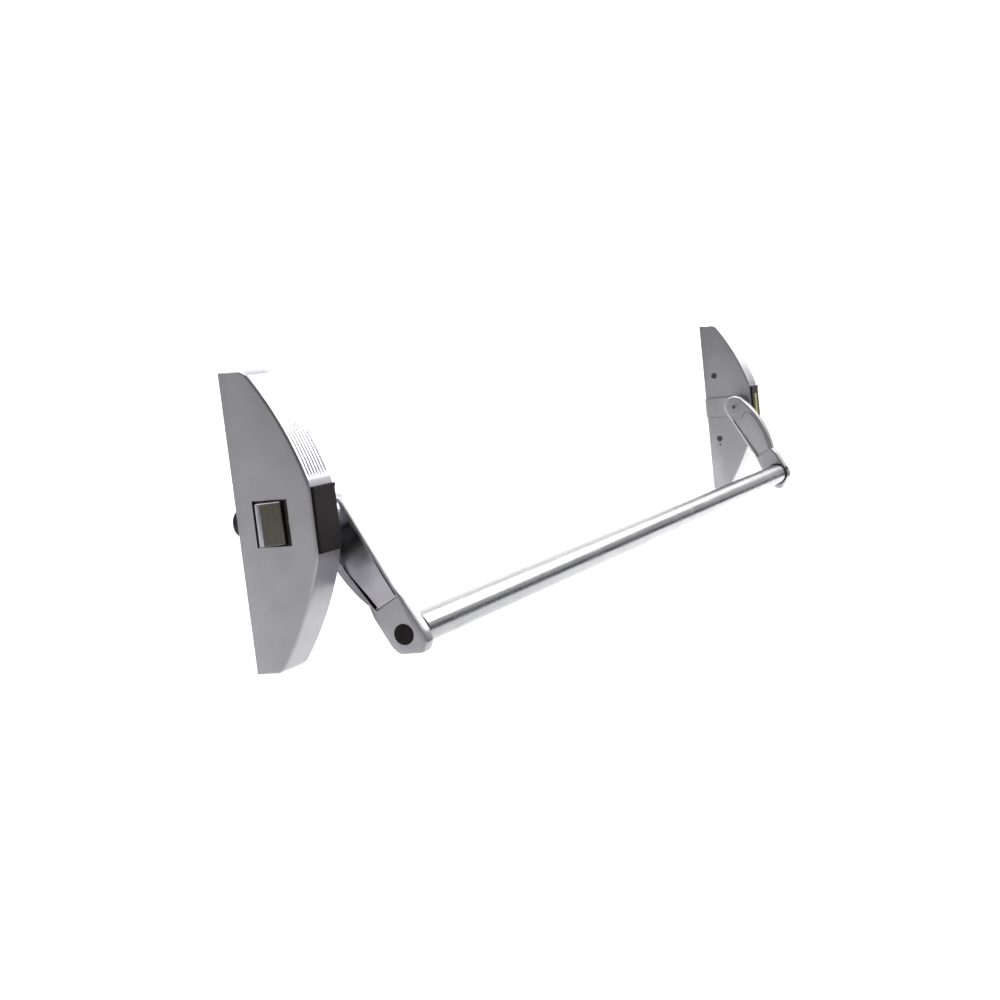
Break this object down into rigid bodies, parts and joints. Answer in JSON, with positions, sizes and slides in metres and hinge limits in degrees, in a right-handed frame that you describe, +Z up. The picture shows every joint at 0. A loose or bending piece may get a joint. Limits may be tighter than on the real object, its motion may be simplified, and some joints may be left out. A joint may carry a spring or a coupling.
{
  "type": "panic exit bar",
  "caption": "Fire-door push bar: a tube on swinging arms between a latch case with a sloped bolt and a plain hinge-side case.",
  "frame": {"origin": "centre of the latch case's back, on the door's surface", "axes": "+X along the bar from the latch case to the hinge-side case, +Y into the door, +Z up"},
  "size_m": [1.174, 0.123, 0.2208],
  "materials": {
    "silver_paint": "satin silver stove enamel",
    "satin_tube": "fine satin brushed along the tube",
    "zinc_steel": "zinc plated",
    "screw_steel": "bright zinc plated",
    "bolt_steel": "ground sintered steel",
    "spring_steel": "drawn wire",
    "bronze": "sintered bronze",
    "plug_aluminium": "turned",
    "black_plastic": "fine matt texture",
    "strip_green": "matt"
  },
  "bodies": {
    "cases": {"latch_case_cover": "silver_paint", "latch_base_plate": "zinc_steel", "latch_front_insert": "black_plastic", "latch_cover_screws": "screw_steel", "latch_inner_bush": "bronze", "latch_outer_bush": "bronze", "hinge_case_cover": "silver_paint", "hinge_base_plate": "zinc_steel", "hinge_front_insert": "black_plastic", "hinge_cover_screws": "screw_steel", "hinge_inner_bush": "bronze", "hinge_outer_bush": "bronze", "slide_guide_posts": "zinc_steel", "bolt_guide": "zinc_steel", "slide_spring": "spring_steel", "spring_seat": "zinc_steel", "return_spring": "spring_steel", "spring_anchor": "zinc_steel", "hinge_marker_strip": "strip_green"},
    "bar": {"latch_arm": "silver_paint", "latch_pivot_shaft": "zinc_steel", "latch_pivot_washer": "screw_steel", "latch_pivot_screw": "screw_steel", "latch_clamp_screw": "screw_steel", "latch_end_cap": "black_plastic", "latch_bar_plug": "plug_aluminium", "latch_bar_collar": "black_plastic", "latch_grub_screw": "screw_steel", "hinge_arm": "silver_paint", "hinge_pivot_shaft": "zinc_steel", "hinge_pivot_washer": "screw_steel", "hinge_pivot_screw": "screw_steel", "hinge_clamp_screw": "screw_steel", "hinge_end_cap": "black_plastic", "hinge_bar_plug": "plug_aluminium", "hinge_bar_collar": "black_plastic", "hinge_grub_screw": "screw_steel", "push_bar_tube": "satin_tube", "shaft_lever": "zinc_steel", "spring_collar": "zinc_steel"},
    "slide": {"latch_slide": "zinc_steel"},
    "bolt": {"latch_bolt": "bolt_steel", "bolt_drive_pin": "zinc_steel"},
    "follower": {"spindle_follower": "zinc_steel", "follower_crank_pin": "zinc_steel"}
  },
  "joints": [
    {"name": "bar_swing", "type": "hinge", "parent": "cases", "child": "bar", "pos_m": [0, -0.046, 0], "axis": [1, 0, 0], "range_deg": [0, 22], "stiffness_Nm_per_rad": 8, "springref_deg": -22.92},
    {"name": "slide_lift", "type": "slide", "parent": "cases", "child": "slide", "axis": [0, 0, 1], "range_m": [0, 0.01108], "deforming": ["slide_spring"]},
    {"name": "bolt_draw", "type": "slide", "parent": "cases", "child": "bolt", "axis": [1, 0, 0], "range_m": [0, 0.01001]},
    {"name": "follower_turn", "type": "hinge", "parent": "cases", "child": "follower", "pos_m": [0, 0, 0], "axis": [0, 1, 0], "range_deg": [0, 67.3]}
  ],
  "couplings": [
    {"joint": "slide_lift", "follows": "bar_swing", "m_per_rad": 0.02883},
    {"joint": "bolt_draw", "follows": "bar_swing", "m_per_rad": 0.026044},
    {"joint": "follower_turn", "follows": "bar_swing", "ratio": 3.0552}
  ]
}
